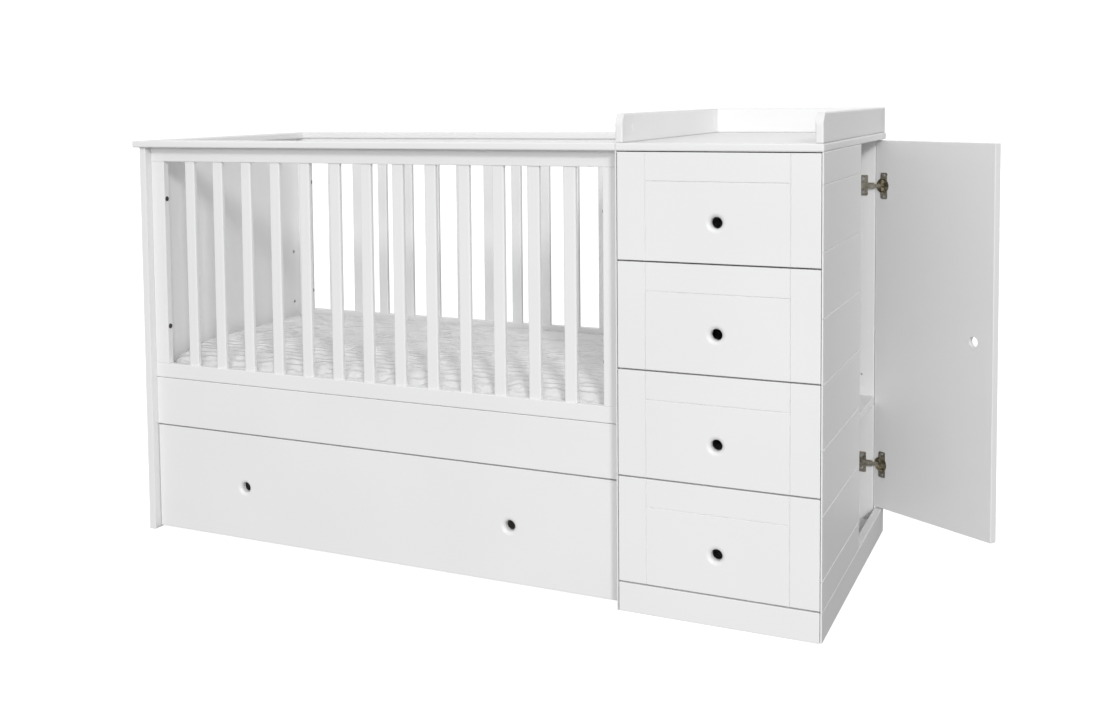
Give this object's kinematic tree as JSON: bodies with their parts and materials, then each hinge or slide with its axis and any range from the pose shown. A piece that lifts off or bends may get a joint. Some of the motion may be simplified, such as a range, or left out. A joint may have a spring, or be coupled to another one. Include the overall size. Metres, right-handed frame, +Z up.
{
  "type": "crib with attached changer",
  "caption": "White slatted crib joined to a chest of drawers with a changing tray on top, a side cupboard with a hinged door and a wheeled drawer under the bed.",
  "frame": {"origin": "middle of the footprint at floor level, with the cupboard door standing open as in the picture", "axes": "+X along the crib's length towards the chest, -Y is the front with the drawers, +Z up"},
  "size_m": [1.9217, 0.7321, 1.021],
  "materials": {
    "paint_white": "white satin lacquer over wood board",
    "paint_inside": "white coated board, slightly duller than the fronts",
    "drawer_board": "thin white coated board",
    "birch": "bare sanded birch",
    "hinge_steel": "nickel-plated steel with a warm dark tone",
    "steel_bright": "zinc-plated steel",
    "wheel_rubber": "matt grey rubber-like plastic",
    "mattress_cloth": "white cotton cover"
  },
  "bodies": {
    "carcase": {"end_panel": "paint_white", "cap_front": "paint_white", "cap_back": "paint_white", "cap_end": "paint_white", "front_top_rail": "paint_white", "front_low_rail": "paint_white", "front_stiles": "paint_white", "front_slats": "paint_white", "front_apron": "paint_white", "back_top_rail": "paint_white", "back_low_rail": "paint_white", "back_stiles": "paint_white", "back_slats": "paint_white", "back_apron": "paint_white", "stile_bolts": "steel_bright", "base_side_rails": "birch", "base_end_rails": "birch", "base_slats": "birch", "base_bolts": "steel_bright", "base_inserts": "steel_bright", "mattress": "mattress_cloth", "chest_side_left": "paint_white", "chest_side_right": "paint_white", "chest_rear_wall": "paint_inside", "chest_divider": "paint_inside", "chest_floor": "paint_inside", "plinth_front": "paint_white", "plinth_side": "paint_white", "cupboard_shelf": "paint_inside", "shelf_pins": "steel_bright", "top_board": "paint_white", "tray_side_left": "paint_white", "tray_side_right": "paint_white", "tray_back": "paint_white", "drawer_runners": "birch", "hinge_arms": "hinge_steel", "hinge_plates": "hinge_steel", "plate_screws": "steel_bright"},
    "drawer_1": {"drawer_1_front": "paint_white", "drawer_1_box": "paint_inside"},
    "drawer_2": {"drawer_2_front": "paint_white", "drawer_2_box": "paint_inside"},
    "drawer_3": {"drawer_3_front": "paint_white", "drawer_3_box": "paint_inside"},
    "drawer_4": {"drawer_4_front": "paint_white", "drawer_4_box": "paint_inside"},
    "bed_drawer": {"bed_drawer_front": "paint_white", "bed_drawer_sides": "paint_inside", "bed_drawer_back": "paint_inside", "bed_drawer_bottom": "drawer_board", "castor_brackets": "steel_bright", "castor_axles": "steel_bright"},
    "wheel_front_left": {"wheel_front_left": "wheel_rubber"},
    "wheel_front_right": {"wheel_front_right": "wheel_rubber"},
    "wheel_back_left": {"wheel_back_left": "wheel_rubber"},
    "wheel_back_right": {"wheel_back_right": "wheel_rubber"},
    "door": {"door": "paint_white", "hinge_cups": "hinge_steel", "hinge_pins": "steel_bright", "cup_screws": "steel_bright"}
  },
  "joints": [
    {"name": "drawer_1_slide", "type": "slide", "parent": "carcase", "child": "drawer_1", "axis": [0, -1, 0], "range_m": [0, 0.25]},
    {"name": "drawer_2_slide", "type": "slide", "parent": "carcase", "child": "drawer_2", "axis": [0, -1, 0], "range_m": [0, 0.25]},
    {"name": "drawer_3_slide", "type": "slide", "parent": "carcase", "child": "drawer_3", "axis": [0, -1, 0], "range_m": [0, 0.25]},
    {"name": "drawer_4_slide", "type": "slide", "parent": "carcase", "child": "drawer_4", "axis": [0, -1, 0], "range_m": [0, 0.25]},
    {"name": "bed_drawer_slide", "type": "slide", "parent": "carcase", "child": "bed_drawer", "axis": [0, -1, 0], "range_m": [0, 0.52]},
    {"name": "wheel_front_left_roll", "type": "hinge", "parent": "bed_drawer", "child": "wheel_front_left", "pos_m": [-0.81886, -0.24358, 0.0223], "axis": [1, 0, 0], "range_deg": [0, 1360]},
    {"name": "wheel_front_right_roll", "type": "hinge", "parent": "bed_drawer", "child": "wheel_front_right", "pos_m": [0.17114, -0.24358, 0.0223], "axis": [1, 0, 0], "range_deg": [0, 1360]},
    {"name": "wheel_back_left_roll", "type": "hinge", "parent": "bed_drawer", "child": "wheel_back_left", "pos_m": [-0.81886, 0.21642, 0.0223], "axis": [1, 0, 0], "range_deg": [0, 1360]},
    {"name": "wheel_back_right_roll", "type": "hinge", "parent": "bed_drawer", "child": "wheel_back_right", "pos_m": [0.17114, 0.21642, 0.0223], "axis": [1, 0, 0], "range_deg": [0, 1360]},
    {"name": "door_swing", "type": "hinge", "parent": "carcase", "child": "door", "pos_m": [0.68644, 0.35492, 0.50325], "axis": [0, 0, 1], "range_deg": [-58, 37]}
  ],
  "couplings": [
    {"joint": "wheel_front_left_roll", "follows": "bed_drawer_slide", "rad_per_m": 45.455},
    {"joint": "wheel_front_right_roll", "follows": "bed_drawer_slide", "rad_per_m": 45.455},
    {"joint": "wheel_back_left_roll", "follows": "bed_drawer_slide", "rad_per_m": 45.455},
    {"joint": "wheel_back_right_roll", "follows": "bed_drawer_slide", "rad_per_m": 45.455}
  ]
}
